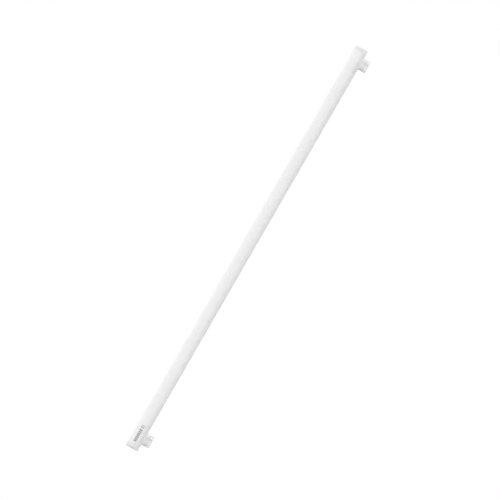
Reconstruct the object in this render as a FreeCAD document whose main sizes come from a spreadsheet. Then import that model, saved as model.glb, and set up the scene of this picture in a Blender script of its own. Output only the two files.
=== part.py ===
import FreeCAD, Part
import Sketcher
import math
import os
from types import SimpleNamespace

# Linear lamp that stands and plugs on two side pegs.
# An opal cover clips to a white rail, and a moulded cap closes each end and carries a peg.
# Light boards lie on a metal spreader in the rail, and the driver lies under the spreader.
# X runs along the lamp and Z points up. The origin is midway between the two contact cups,
# on the plane that they stand on. Most pieces are drawn about the axis of the tube.

# Driving sizes, in millimetres and degrees
SIZES = {
    # Whole lamp
    "lamp_length": 1000.0,
    "tube_diameter": 29.0,
    "contact_reach": 31.1,        # tube axis to the flat end of a peg
    "peg_inset": 30.0,            # lamp's end to the middle of its peg
    # Cover and rail, which share the round outline
    "cover_wall": 1.0,
    "rail_wall": 1.4,
    "rail_half_angle": 62.0,      # from straight down to the seam
    "snap_gap": 0.2,
    "snap_angle": 8.0,            # height of the rail's rib inside the cover
    "bead_depth": 0.5,
    "bead_angle": 4.0,            # seam to the middle of the bead
    "bead_half_angle": 1.0,
    "groove_half_angle": 1.5,
    # Runner in the rail, which holds the feet of the spreader
    "foot_drop": 1.2,             # seam level to the runner's floor
    "runner_floor": 1.0,
    "runner_wall": 1.1,           # thinnest wall outside the runner
    "runner_gap": 0.2,
    "runner_width": 2.2,
    "jaw_gap": 0.8,
    # End cap
    "cap_beyond_peg": 13.5,       # peg to the cap's seam with the rail
    "seam_gap": 0.2,
    "collar_length": 9.0,
    "end_wall": 2.0,
    "end_chamfer": 0.8,
    "spigot_length": 8.0,
    "spigot_wall": 1.2,
    "spigot_angle": 10.0,         # seam to the spigot's edge
    "tongue_length": 12.0,
    "tongue_root": 8.0,
    "tongue_wall": 1.2,
    "tongue_near_angle": 25.0,
    "tongue_far_angle": 40.0,
    # Peg: a moulded plinth and nose, with a metal cup on the nose
    "peg_length": 27.0,
    "peg_width": 14.0,
    "groove_width": 1.7,          # plinth's shoulder to the cup's rim
    "plinth_root": 0.4,
    "peg_wall": 1.6,
    "saddle_flare": 1.6,
    "shoulder_chamfer": 0.4,
    "cup_height": 5.6,
    "cup_wall": 0.5,
    "cup_gap": 0.1,
    "cup_chamfer": 0.5,
    "notch_width": 4.0,
    "notch_offset": 3.5,
    "notch_depth": 1.0,
    "notch_above_rim": 4.3,
    "notch_below_rim": 3.3,
    # Solder tag in the peg
    "tag_sheet": 0.5,
    "tag_width": 4.0,
    "tag_foot": 8.0,
    "tag_landing": 5.0,
    # Spreader, light boards and light chips
    "spreader_sheet": 1.0,
    "spreader_drop": 1.0,         # tube axis to the spreader's top
    "spreader_foot": 1.6,
    "spreader_inset": 22.0,
    "board_width": 15.6,
    "board_thickness": 1.0,
    "board_inset": 30.0,
    "board_joint_gap": 0.4,
    "chip_length": 3.5,
    "chip_width": 2.8,
    "chip_height": 0.7,
    "chip_pitch": 10.0,
    "chip_margin": 3.0,           # least distance from the last chip's middle to the board's end
    "link_length": 5.0,
    "link_width": 1.6,
    "link_height": 0.5,
    "link_offset": 4.5,
    # Driver
    "driver_gap": 4.0,            # cap's tongue to the board
    "part_gap": 3.2,              # along the board, from one part to the next
    "output_zone": 12.0,          # end of the board, for the leads
    "driver_board_thickness": 1.0,
    "tray_wall": 0.4,
    "tray_height": 4.5,
    "tray_gap": 0.25,
    "tray_end": 1.0,
    "fit_gap": 0.1,
    # Leads
    "lead_diameter": 1.6,
    "lead_slope": 15.0,
    "lead_overlap": 4.0,
    "output_lead_diameter": 1.2,
    "output_lead_proud": 1.0,
    "output_lead_inset": 7.0,
    "output_lead_offset": 4.5,
    "output_hole_gap": 0.4,
    # Parts on the driver board
    "resistor_diameter": 2.6,
    "resistor_length": 8.0,
    "resistor_leg": 0.6,
    "resistor_lift": 0.5,
    "varistor_diameter": 7.0,
    "varistor_height": 3.2,
    "varistor_side": 2.4,
    "beside_gap": 1.0,
    "rectifier_length": 6.4,
    "rectifier_width": 5.0,
    "rectifier_height": 2.4,
    "rectifier_pitch": 4.0,
    "film_length": 10.0,
    "film_width": 5.0,
    "film_height": 6.2,
    "film_chamfer": 0.6,
    "choke_diameter": 6.4,
    "choke_height": 6.0,
    "choke_flange": 1.0,
    "choke_waist": 0.6,
    "can_diameter": 6.3,
    "can_length": 11.0,
    "controller_length": 5.0,
    "controller_width": 4.0,
    "controller_height": 1.6,
    "controller_pitch": 1.27,
    "controller_side": 1.0,
    "diode_length": 4.4,
    "diode_width": 2.8,
    "diode_height": 2.2,
    "leg_width": 0.5,
    "leg_reach": 1.0,
    "leg_sheet": 0.3,
    "core_length": 10.0,
    "core_depth": 5.0,
    "core_height": 6.2,
    "core_wall": 1.4,
    "core_leg": 2.4,
    "winding_bulge": 1.6,
    "small_length": 1.6,
    "small_width": 0.8,
    "small_height": 0.5,
    "small_pitch": 2.4,
    "small_inset": 2.2,
}


class Size:
    """A number together with the sheet formula that gives it."""

    def __init__(self, value, formula):
        self.value = value
        self.formula = formula

    def joined(self, sign, other, value):
        return Size(value, f"({self.formula} {sign} {other.formula})")

    def __add__(self, other):
        other = as_size(other)
        return self.joined("+", other, self.value + other.value)

    def __sub__(self, other):
        other = as_size(other)
        return self.joined("-", other, self.value - other.value)

    def __mul__(self, other):
        other = as_size(other)
        return self.joined("*", other, self.value * other.value)

    def __truediv__(self, other):
        other = as_size(other)
        return self.joined("/", other, self.value / other.value)

    def __neg__(self):
        return as_size(0) - self


def as_size(number):
    """Return the number as a Size, so that sums may mix the two."""
    return number if isinstance(number, Size) else Size(float(number), str(float(number)))


def sine(angle):
    return Size(math.sin(math.radians(angle.value)), f"sin({angle.formula})")


def cosine(angle):
    return Size(math.cos(math.radians(angle.value)), f"cos({angle.formula})")


def root(square):
    return Size(math.sqrt(square.value), f"sqrt({square.formula})")


def whole(number):
    return Size(math.floor(number.value), f"floor({number.formula})")


doc = FreeCAD.newDocument("lamp")
sheet = doc.addObject("Spreadsheet::Sheet", "Sizes")
for row, (name, number) in enumerate(SIZES.items(), start=1):
    sheet.set(f"A{row}", name)
    sheet.set(f"B{row}", str(number))
    sheet.setAlias(f"B{row}", name)
doc.recompute()

size = SimpleNamespace(**{name: Size(number, f"Sizes.{name}") for name, number in SIZES.items()})
ZERO = as_size(0)

# Sizes worked out from the driving ones and shared by several pieces
tube_radius = size.tube_diameter / 2
cover_bore = tube_radius - size.cover_wall
rail_bore = tube_radius - size.rail_wall
rib_radius = cover_bore - size.snap_gap
spigot_bore = rib_radius - size.spigot_wall
seam_angle = size.rail_half_angle
runner_level = tube_radius * cosine(seam_angle) + size.foot_drop
runner_reach = root((tube_radius - size.runner_wall) * (tube_radius - size.runner_wall)
                    - runner_level * runner_level)
foot_reach = runner_reach - size.runner_gap
flange_outside = foot_reach - size.spreader_foot
flange_inside = flange_outside - size.spreader_sheet
peg_place = size.lamp_length / 2 - size.peg_inset
cap_length = size.peg_inset + size.peg_length / 2 + size.cap_beyond_peg
collar_face = size.collar_length - size.peg_inset
cap_seam = cap_length - size.peg_inset - size.seam_gap
peg_radius = size.peg_width / 2
peg_straight = (size.peg_length - size.peg_width) / 2
cup_floor = size.contact_reach - size.cup_wall
cup_rim = size.contact_reach - size.cup_height
shoulder = cup_rim - size.groove_width
nose_radius = peg_radius - size.cup_wall - size.cup_gap
peg_bore = peg_radius - size.peg_wall
lead_radius = size.lead_diameter / 2
lead_run_level = rail_bore - lead_radius - size.fit_gap
tag_top = lead_run_level + lead_radius
board_top = size.spreader_drop - size.board_thickness
tray_half = flange_inside - size.tray_gap
tray_bottom = root((rail_bore - size.fit_gap) * (rail_bore - size.fit_gap) - tray_half * tray_half)
driver_half = tray_half - size.tray_wall - size.fit_gap
driver_top = tray_bottom - size.tray_wall - size.driver_board_thickness
driver_start = cap_length + size.tongue_length + size.driver_gap - size.lamp_length / 2

# Places along the driver board: the parts follow each other with an even gap
small_row = size.small_pitch * 3 + size.small_length
spans = {
    "fusible_resistor": size.resistor_length + size.resistor_diameter,
    "bridge_rectifier": size.rectifier_length,
    "film_capacitor": size.film_length,
    "line_choke": size.choke_diameter,
    "bulk_capacitor": size.can_length,
    "controller_chip": small_row,
    "freewheel_diode": size.diode_length,
    "inductor_core": size.core_length,
    "output_capacitor": size.can_length,
}
places = {}
edge = size.lead_overlap
for name, span in spans.items():
    places[name] = edge + size.part_gap + span / 2
    edge = edge + size.part_gap + span
driver_length = edge + size.part_gap + size.output_zone
output_place = driver_start + driver_length - size.output_lead_inset


def bind(thing, path, amount):
    """Tie one property of an object, or one constraint of a sketch, to its formula."""
    thing.setExpression(path, as_size(amount).formula)


def new_body(label, x=ZERO, y=ZERO, z=ZERO, half_turn=False):
    """Start a sub-part whose own axis lies at x, y and at z above the tube's axis."""
    body = doc.addObject("PartDesign::Body", label)
    body.Label = label
    body.AllowCompound = True
    if half_turn:
        body.Placement.Rotation = FreeCAD.Rotation(FreeCAD.Vector(0, 0, 1), 180)
    bind(body, "Placement.Base.x", x)
    bind(body, "Placement.Base.y", y)
    bind(body, "Placement.Base.z", size.contact_reach + z)
    return body


def new_sketch(body, name, role, offset=ZERO):
    """Start a sketch on one of the body's own planes, moved along the plane's normal."""
    sketch = body.newObject("Sketcher::SketchObject", name)
    plane = next(item for item in body.Origin.OriginFeatures if item.Role == role)
    sketch.AttachmentSupport = [(plane, "")]
    sketch.MapMode = "FlatFace"
    bind(sketch, "AttachmentOffset.Base.z", offset)
    return sketch


def fix_distance(sketch, kind, item, point, distance):
    """Hold a point of the sketch at a bound distance from the origin along one direction."""
    rule = Sketcher.Constraint(kind, -1, 1, item, point, distance.value)
    bind(sketch, f"Constraints[{sketch.addConstraint(rule)}]", distance)


def fix_point(sketch, item, point, x, y):
    fix_distance(sketch, "DistanceX", item, point, x)
    fix_distance(sketch, "DistanceY", item, point, y)


def fix_radius(sketch, item, radius):
    rule = Sketcher.Constraint("Radius", item, radius.value)
    bind(sketch, f"Constraints[{sketch.addConstraint(rule)}]", radius)


def draw_circle(sketch, radius, x=ZERO, y=ZERO):
    centre = FreeCAD.Vector(x.value, y.value, 0)
    item = sketch.addGeometry(Part.Circle(centre, FreeCAD.Vector(0, 0, 1), radius.value), False)
    fix_point(sketch, item, 3, x, y)
    fix_radius(sketch, item, radius)


def draw_path(sketch, corners, arcs=None, closed=True):
    """Draw lines and arcs from corner to corner.

    corners are pairs of Size. arcs gives, for the stretch after a corner's number, its
    radius, its centre and whether it turns left.
    """
    arcs = arcs or {}
    points = [FreeCAD.Vector(x.value, y.value, 0) for x, y in corners]
    count = len(points) if closed else len(points) - 1
    ends = []
    for number in range(count):
        start = points[number]
        finish = points[(number + 1) % len(points)]
        if number in arcs:
            radius, centre, turns_left = arcs[number]
            middle = FreeCAD.Vector(centre[0].value, centre[1].value, 0)
            first, last = (start, finish) if turns_left else (finish, start)
            circle = Part.Circle(middle, FreeCAD.Vector(0, 0, 1), radius.value)
            from_angle = math.atan2(first.y - middle.y, first.x - middle.x)
            to_angle = math.atan2(last.y - middle.y, last.x - middle.x)
            if to_angle <= from_angle:
                to_angle += 2 * math.pi
            item = sketch.addGeometry(Part.ArcOfCircle(circle, from_angle, to_angle), False)
            ends.append((item, 1, 2) if turns_left else (item, 2, 1))
        else:
            item = sketch.addGeometry(Part.LineSegment(start, finish), False)
            ends.append((item, 1, 2))
    for number, (item, start, finish) in enumerate(ends):
        fix_point(sketch, item, start, *corners[number])
        if closed or number + 1 < count:
            after, after_start, _ = ends[(number + 1) % count]
            sketch.addConstraint(Sketcher.Constraint("Coincident", item, finish, after, after_start))
        else:
            fix_point(sketch, item, finish, *corners[-1])
        if number in arcs:
            fix_radius(sketch, item, arcs[number][0])


def draw_box(sketch, left, right, bottom, top):
    draw_path(sketch, [(left, bottom), (right, bottom), (right, top), (left, top)])


def draw_stadium(sketch, straight, radius):
    """Draw a slot shape about the origin: two half rounds joined by two straight sides."""
    rounds = []
    for sign, first in ((1, -math.pi / 2), (-1, math.pi / 2)):
        centre = FreeCAD.Vector(sign * straight.value, 0, 0)
        circle = Part.Circle(centre, FreeCAD.Vector(0, 0, 1), radius.value)
        rounds.append(sketch.addGeometry(Part.ArcOfCircle(circle, first, first + math.pi), False))
        fix_point(sketch, rounds[-1], 3, straight * sign, ZERO)
    right, left = rounds
    upper = sketch.addGeometry(Part.LineSegment(
        FreeCAD.Vector(straight.value, radius.value, 0),
        FreeCAD.Vector(-straight.value, radius.value, 0)), False)
    lower = sketch.addGeometry(Part.LineSegment(
        FreeCAD.Vector(-straight.value, -radius.value, 0),
        FreeCAD.Vector(straight.value, -radius.value, 0)), False)
    for item, end, after, start in ((right, 2, upper, 1), (upper, 2, left, 1),
                                    (left, 2, lower, 1), (lower, 2, right, 1)):
        sketch.addConstraint(Sketcher.Constraint("Tangent", item, end, after, start))
    sketch.addConstraint(Sketcher.Constraint("Equal", right, left))
    fix_radius(sketch, right, radius)


def add_pad(body, name, sketch, length, backwards=False):
    pad = body.newObject("PartDesign::Pad", name)
    pad.Profile = sketch
    pad.Reversed = backwards
    bind(pad, "Length", length)
    return pad


def add_pocket(body, name, sketch, length):
    """Cut against the direction that the sketch faces."""
    pocket = body.newObject("PartDesign::Pocket", name)
    pocket.Profile = sketch
    bind(pocket, "Length", length)
    return pocket


def soften(body, name, kind, amount, wanted):
    """Fillet or chamfer the edges of the shape so far whose every sampled point is wanted."""
    doc.recompute()
    base = body.Tip
    names = []
    for number, edge in enumerate(base.Shape.Edges, start=1):
        samples = edge.discretize(5)
        if all(wanted(point) for point in samples):
            names.append(f"Edge{number}")
    feature = body.newObject(f"PartDesign::{kind}", name)
    feature.Base = (base, names)
    bind(feature, "Radius" if kind == "Fillet" else "Size", amount)
    return feature


def polar(radius, angle, side=1):
    """A point of the cross-section, by its angle from straight down."""
    return (radius * sine(angle) * side, -(radius * cosine(angle)))


def draw_sector(sketch, outer, inner, from_angle, to_angle, side=1):
    """Draw a piece of a ring between two angles from straight down."""
    corners = [polar(outer, from_angle, side), polar(outer, to_angle, side),
               polar(inner, to_angle, side), polar(inner, from_angle, side)]
    axis = (ZERO, ZERO)
    draw_path(sketch, corners, {0: (outer, axis, side > 0), 2: (inner, axis, side < 0)})


# Sections of the tube

def draw_rail_section(sketch):
    """Trough with a snap rib at each edge and a runner for the spreader under each rib."""
    jaw_inside = flange_outside + size.jaw_gap
    jaw_level = runner_level - size.spreader_sheet - size.runner_gap
    rib_top = rib_radius * cosine(seam_angle + size.snap_angle)
    groove_radius = rib_radius - size.bead_depth
    groove_low = seam_angle + size.bead_angle - size.groove_half_angle
    groove_high = seam_angle + size.bead_angle + size.groove_half_angle
    floor_level = runner_level + size.runner_floor
    floor_inside = runner_reach - size.runner_width
    floor_meets_wall = root(rail_bore * rail_bore - floor_level * floor_level)

    def side_corners(side):
        return [
            polar(tube_radius, seam_angle, side),
            polar(rib_radius, seam_angle, side),
            polar(rib_radius, groove_low, side),
            polar(groove_radius, groove_low, side),
            polar(groove_radius, groove_high, side),
            polar(rib_radius, groove_high, side),
            polar(rib_radius, seam_angle + size.snap_angle, side),
            (jaw_inside * side, -rib_top),
            (jaw_inside * side, -jaw_level),
            (runner_reach * side, -jaw_level),
            (runner_reach * side, -runner_level),
            (floor_inside * side, -runner_level),
            (floor_inside * side, -floor_level),
            (floor_meets_wall * side, -floor_level),
        ]

    right = side_corners(1)
    left = side_corners(-1)
    left.reverse()
    axis = (ZERO, ZERO)
    last = len(right) + len(left) - 1
    arcs = {
        1: (rib_radius, axis, True),
        3: (groove_radius, axis, True),
        5: (rib_radius, axis, True),
        len(right) - 1: (rail_bore, axis, False),
        last - 6: (rib_radius, axis, True),
        last - 4: (groove_radius, axis, True),
        last - 2: (rib_radius, axis, True),
        last: (tube_radius, axis, True),
    }
    draw_path(sketch, right + left, arcs)


def draw_cover_section(sketch):
    """Most of a ring, with a bead inside each edge that snaps in the rail's rib."""
    bead_radius = cover_bore - size.bead_depth
    bead_low = seam_angle + size.bead_angle - size.bead_half_angle
    bead_high = seam_angle + size.bead_angle + size.bead_half_angle

    def side_corners(side):
        return [
            polar(tube_radius, seam_angle, side),
            polar(cover_bore, seam_angle, side),
            polar(cover_bore, bead_low, side),
            polar(bead_radius, bead_low, side),
            polar(bead_radius, bead_high, side),
            polar(cover_bore, bead_high, side),
        ]

    left = side_corners(-1)
    right = side_corners(1)
    right.reverse()
    axis = (ZERO, ZERO)
    last = len(left) + len(right) - 1
    arcs = {
        1: (cover_bore, axis, False),
        3: (bead_radius, axis, False),
        5: (cover_bore, axis, False),
        last - 4: (bead_radius, axis, False),
        last - 2: (cover_bore, axis, False),
        last: (tube_radius, axis, True),
    }
    draw_path(sketch, left + right, arcs)


def make_cover():
    half = size.lamp_length / 2 - size.collar_length
    body = new_body("cover", x=-half)
    section = new_sketch(body, "cover_section", "YZ_Plane")
    draw_cover_section(section)
    add_pad(body, "cover_length", section, half * 2)
    return body


def make_rail():
    half = size.lamp_length / 2 - cap_length
    body = new_body("rail", x=-half)
    section = new_sketch(body, "rail_section", "YZ_Plane")
    draw_rail_section(section)
    add_pad(body, "rail_length", section, half * 2)
    return body


# End cap and what its peg holds, drawn with the peg's middle at x = 0 and the lamp's
# middle towards +x

def at_peg(label, right_end, z=ZERO):
    side = 1 if right_end else -1
    return new_body(label, x=peg_place * side, z=z, half_turn=right_end)


def on_peg_outline(point):
    """Tell whether a point lies on the upright side of the peg."""
    over = max(abs(point.x) - peg_straight.value, 0)
    return abs(math.hypot(over, point.y) - peg_radius.value) < 0.01


def make_cap(label, right_end):
    body = at_peg(label, right_end)

    collar = new_sketch(body, "collar_section", "YZ_Plane", -size.peg_inset)
    draw_circle(collar, tube_radius)
    add_pad(body, "collar", collar, size.collar_length)
    bore = new_sketch(body, "collar_bore_section", "YZ_Plane", collar_face)
    draw_circle(bore, spigot_bore)
    add_pocket(body, "collar_bore", bore, size.collar_length - size.end_wall)

    spigot = new_sketch(body, "spigot_section", "YZ_Plane", collar_face)
    edge_angle = seam_angle + size.spigot_angle
    corners = [polar(rib_radius, edge_angle), polar(rib_radius, edge_angle, -1),
               polar(spigot_bore, edge_angle, -1), polar(spigot_bore, edge_angle)]
    axis = (ZERO, ZERO)
    draw_path(spigot, corners, {0: (rib_radius, axis, True), 2: (spigot_bore, axis, False)})
    add_pad(body, "spigot", spigot, size.spigot_length)

    trough = new_sketch(body, "trough_section", "YZ_Plane", collar_face)
    draw_rail_section(trough)
    add_pad(body, "trough", trough, cap_seam - collar_face)

    plinth_start = root(tube_radius * tube_radius - peg_radius * peg_radius) - size.plinth_root
    plinth = new_sketch(body, "plinth_outline", "XY_Plane", -plinth_start)
    draw_stadium(plinth, peg_straight, peg_radius)
    add_pad(body, "plinth", plinth, shoulder - plinth_start, backwards=True)
    on_tube = tube_radius.value
    soften(body, "saddle", "Chamfer", size.saddle_flare, lambda point: (
        abs(math.hypot(point.y, point.z) - on_tube) < 0.01 and on_peg_outline(point)))
    soften(body, "shoulder", "Chamfer", size.shoulder_chamfer, lambda point: (
        abs(point.z + shoulder.value) < 0.01))

    nose = new_sketch(body, "nose_outline", "XY_Plane", -(shoulder - size.peg_wall))
    draw_stadium(nose, peg_straight, nose_radius)
    add_pad(body, "nose", nose, cup_floor - shoulder + size.peg_wall, backwards=True)

    floor_cut = new_sketch(body, "floor_section", "YZ_Plane", cap_seam)
    draw_path(floor_cut, [(ZERO, ZERO), polar(rail_bore, size.tongue_far_angle, -1),
                          polar(rail_bore, size.tongue_far_angle)],
              {1: (rail_bore, axis, True)})
    add_pocket(body, "clear_floor", floor_cut, cap_seam - collar_face - size.spigot_length)

    hollow_top = rail_bore * cosine(size.tongue_far_angle)
    hollow = new_sketch(body, "peg_bore_outline", "XY_Plane", -hollow_top)
    draw_stadium(hollow, peg_straight, peg_bore)
    add_pocket(body, "peg_bore", hollow, cup_floor - hollow_top)

    cut_notches(body)

    for number, side in enumerate((1, -1), start=1):
        tongue_bore = rail_bore - size.snap_gap - size.tongue_wall
        tongue_root = new_sketch(body, f"tongue_root_section_{number}", "YZ_Plane",
                                 cap_seam - size.tongue_root)
        draw_sector(tongue_root, rail_bore + size.snap_gap, tongue_bore,
                    size.tongue_near_angle, size.tongue_far_angle, side)
        add_pad(body, f"tongue_root_{number}", tongue_root, size.tongue_root)
        tongue = new_sketch(body, f"tongue_section_{number}", "YZ_Plane",
                            cap_seam - size.tongue_root)
        draw_sector(tongue, rail_bore - size.snap_gap, tongue_bore,
                    size.tongue_near_angle, size.tongue_far_angle, side)
        add_pad(body, f"tongue_{number}", tongue, size.tongue_root + size.tongue_length)

    soften(body, "end_edge", "Chamfer", size.end_chamfer, lambda point: (
        abs(point.x + size.peg_inset.value) < 0.01
        and abs(math.hypot(point.y, point.z) - on_tube) < 0.01))
    return body


def cut_notches(body):
    """Cut a shallow notch in both long sides of the peg, off its middle and half a turn apart."""
    beyond = size.peg_wall
    for number, side in enumerate((1, -1), start=1):
        near = (size.notch_offset - size.notch_width / 2) * side
        far = (size.notch_offset + size.notch_width / 2) * side
        plane = peg_radius + beyond if side > 0 else size.notch_depth - peg_radius
        notch = new_sketch(body, f"notch_outline_{number}", "XZ_Plane", plane)
        draw_box(notch, near, far, -(cup_rim + size.notch_below_rim),
                 size.notch_above_rim - cup_rim)
        add_pocket(body, f"notch_{number}", notch, size.notch_depth + beyond)


def make_cup(label, right_end):
    """Metal cup pressed over the peg's nose."""
    body = at_peg(label, right_end)
    outline = new_sketch(body, "cup_outline", "XY_Plane", -size.contact_reach)
    draw_stadium(outline, peg_straight, peg_radius)
    add_pad(body, "cup", outline, size.cup_height)
    inside = new_sketch(body, "cup_inside_outline", "XY_Plane", -cup_rim)
    draw_stadium(inside, peg_straight, peg_radius - size.cup_wall)
    add_pocket(body, "cup_inside", inside, size.cup_height - size.cup_wall)
    soften(body, "cup_edge", "Chamfer", size.cup_chamfer, lambda point: (
        abs(point.z + size.contact_reach.value) < 0.01))
    cut_notches(body)
    return body


def make_tag(label, right_end):
    """Strip bent twice, from the cup's floor up the peg to a landing for the lead."""
    body = at_peg(label, right_end)
    profile = new_sketch(body, "tag_profile", "XZ_Plane", -(size.tag_width / 2))
    sheet_size = size.tag_sheet
    draw_path(profile, [
        (ZERO, -cup_floor),
        (size.tag_foot, -cup_floor),
        (size.tag_foot, sheet_size - cup_floor),
        (sheet_size, sheet_size - cup_floor),
        (sheet_size, -(tag_top + sheet_size)),
        (size.tag_landing, -(tag_top + sheet_size)),
        (size.tag_landing, -tag_top),
        (ZERO, -tag_top),
    ])
    add_pad(body, "tag", profile, size.tag_width)
    return body


def make_lead(label, right_end, board_edge):
    """Insulated lead from the solder tag along the rail's floor and up a slope to the driver."""
    body = at_peg(label, right_end)
    landing = driver_top - lead_radius
    slope_run = (lead_run_level - landing) * cosine(size.lead_slope) / sine(size.lead_slope)
    start = size.tag_sheet
    top = board_edge - size.tray_end
    route = new_sketch(body, "route", "XZ_Plane")
    draw_path(route, [
        (start, -lead_run_level),
        (top - slope_run, -lead_run_level),
        (top, -landing),
        (board_edge + size.lead_overlap, -landing),
    ], {}, closed=False)
    section = new_sketch(body, "lead_section", "YZ_Plane", start)
    draw_circle(section, lead_radius, ZERO, -lead_run_level)
    doc.recompute()
    pipe = body.newObject("PartDesign::AdditivePipe", "lead")
    pipe.Profile = section
    pipe.Spine = route
    pipe.Transition = "Right corner"
    return body


# Light boards on their spreader

def make_spreader():
    """Folded strip: a flat top, two flanges and two feet that slide in the rail's runners."""
    length = size.lamp_length - size.spreader_inset * 2
    body = new_body("heat_spreader", x=-(length / 2))
    section = new_sketch(body, "spreader_section", "YZ_Plane")
    sheet_size = size.spreader_sheet

    def side_corners(side):
        return [
            (flange_inside * side, -(size.spreader_drop + sheet_size)),
            (flange_inside * side, -runner_level),
            (foot_reach * side, -runner_level),
            (foot_reach * side, sheet_size - runner_level),
            (flange_outside * side, sheet_size - runner_level),
            (flange_outside * side, -size.spreader_drop),
        ]

    right = side_corners(1)
    left = side_corners(-1)
    left.reverse()
    draw_path(section, right + left)
    add_pad(body, "spreader_length", section, length)
    holes = new_sketch(body, "spreader_holes", "XY_Plane", -size.spreader_drop)
    draw_lead_holes(holes, output_place + length / 2)
    add_pocket(body, "lead_holes", holes, sheet_size)
    return body


def draw_lead_holes(sketch, place):
    for side in (1, -1):
        draw_circle(sketch, size.output_lead_diameter / 2 + size.output_hole_gap,
                    place, size.output_lead_offset * side)


def make_light_board(label, side):
    """One of the two boards that meet at the lamp's middle."""
    length = (size.lamp_length - size.board_joint_gap) / 2 - size.board_inset
    start = size.board_joint_gap / 2 if side > 0 else -(length + size.board_joint_gap / 2)
    body = new_body(label, x=start, z=-size.spreader_drop)
    outline = new_sketch(body, "board_outline", "XY_Plane")
    draw_box(outline, ZERO, length, -(size.board_width / 2), size.board_width / 2)
    add_pad(body, "board", outline, size.board_thickness)
    if side < 0:
        holes = new_sketch(body, "board_holes", "XY_Plane", size.board_thickness)
        draw_lead_holes(holes, output_place - start)
        add_pocket(body, "lead_holes", holes, size.board_thickness)
    return body


def make_chips(label, side):
    """A row of light chips on one board, spaced evenly from the lamp's middle."""
    body = new_body(label, z=-board_top)
    outline = new_sketch(body, "chip_outline", "XY_Plane")
    middle = size.chip_pitch / 2 * side
    draw_box(outline, middle - size.chip_length / 2, middle + size.chip_length / 2,
             -(size.chip_width / 2), size.chip_width / 2)
    chip = add_pad(body, "chip", outline, size.chip_height)
    doc.recompute()
    row = body.newObject("PartDesign::LinearPattern", "chip_row")
    row.Originals = [chip]
    axis = next(item for item in body.Origin.OriginFeatures if item.Role == "X_Axis")
    row.Direction = (axis, [""])
    row.Reversed = side < 0
    board_end = size.lamp_length / 2 - size.board_inset
    count = whole((board_end - size.chip_margin) / size.chip_pitch + 0.5)
    bind(row, "Length", size.chip_pitch * (count - 1))
    bind(row, "Occurrences", count)
    body.Tip = row
    return body


def make_board_links():
    """Two soldered bridges over the joint of the boards."""
    body = new_body("board_links", z=-board_top)
    outline = new_sketch(body, "link_outline", "XY_Plane")
    half = size.link_length / 2
    for side in (1, -1):
        middle = size.link_offset * side
        draw_box(outline, -half, half, middle - size.link_width / 2, middle + size.link_width / 2)
    add_pad(body, "links", outline, size.link_height)
    return body


def make_output_lead(label, side):
    """Stiff lead from the driver board straight up through the spreader and the light board."""
    body = new_body(label, x=output_place, y=size.output_lead_offset * side)
    section = new_sketch(body, "lead_section", "XY_Plane", -driver_top)
    draw_circle(section, size.output_lead_diameter / 2)
    add_pad(body, "lead", section, driver_top - board_top + size.output_lead_proud)
    return body


# Driver

def make_tray():
    """Thin insulating trough, open above and at its ends."""
    body = new_body("driver_tray", x=driver_start - size.tray_end)
    section = new_sketch(body, "tray_section", "YZ_Plane")
    inside = tray_half - size.tray_wall
    rim = tray_bottom - size.tray_height
    draw_path(section, [
        (-tray_half, -rim),
        (-tray_half, -tray_bottom),
        (tray_half, -tray_bottom),
        (tray_half, -rim),
        (inside, -rim),
        (inside, size.tray_wall - tray_bottom),
        (-inside, size.tray_wall - tray_bottom),
        (-inside, -rim),
    ])
    add_pad(body, "tray_length", section, driver_length + size.tray_end * 2)
    return body


def make_driver_board():
    body = new_body("driver_board", x=driver_start, z=size.tray_wall - tray_bottom)
    outline = new_sketch(body, "board_outline", "XY_Plane")
    draw_box(outline, ZERO, driver_length, -driver_half, driver_half)
    add_pad(body, "board", outline, size.driver_board_thickness)
    return body


def on_board(label, across=ZERO, place=None):
    """Start a sub-part that stands on the driver board, at its own or the given place."""
    along = places[place or label]
    return new_body(label, x=driver_start + along, y=across, z=-driver_top)


def make_packed_chip(label, across, length, width, height, legs, pitch):
    """Moulded chip with flat legs at its two long sides."""
    body = on_board(label, across)
    outline = new_sketch(body, "chip_outline", "XY_Plane")
    draw_box(outline, -(length / 2), length / 2, -(width / 2), width / 2)
    add_pad(body, "chip", outline, height)
    feet = new_sketch(body, "leg_outline", "XY_Plane")
    for number in range(legs):
        middle = pitch * (number - (legs - 1) / 2)
        draw_box(feet, middle - size.leg_width / 2, middle + size.leg_width / 2,
                 -(width / 2 + size.leg_reach), width / 2 + size.leg_reach)
    add_pad(body, "legs", feet, size.leg_sheet)
    return body


def make_resistor():
    """Fusible resistor: a round body held off the board by its two bent legs."""
    across = (size.varistor_diameter + size.resistor_diameter) / 2 + size.beside_gap
    body = on_board("fusible_resistor", size.varistor_side - across)
    middle = size.resistor_diameter / 2 + size.resistor_lift
    barrel = new_sketch(body, "barrel_section", "YZ_Plane", -(size.resistor_length / 2))
    draw_circle(barrel, size.resistor_diameter / 2, ZERO, middle)
    add_pad(body, "barrel", barrel, size.resistor_length)
    legs = new_sketch(body, "leg_profile", "XZ_Plane", -(size.resistor_leg / 2))
    half = size.resistor_length / 2 + size.resistor_diameter / 2
    thin = size.resistor_leg
    draw_path(legs, [
        (-half, ZERO),
        (thin - half, ZERO),
        (thin - half, middle - thin / 2),
        (half - thin, middle - thin / 2),
        (half - thin, ZERO),
        (half, ZERO),
        (half, middle + thin / 2),
        (-half, middle + thin / 2),
    ])
    add_pad(body, "legs", legs, thin)
    return body


def make_varistor():
    body = on_board("varistor", size.varistor_side, "fusible_resistor")
    outline = new_sketch(body, "disc_outline", "XY_Plane")
    draw_circle(outline, size.varistor_diameter / 2)
    add_pad(body, "disc", outline, size.varistor_height)
    return body


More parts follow.
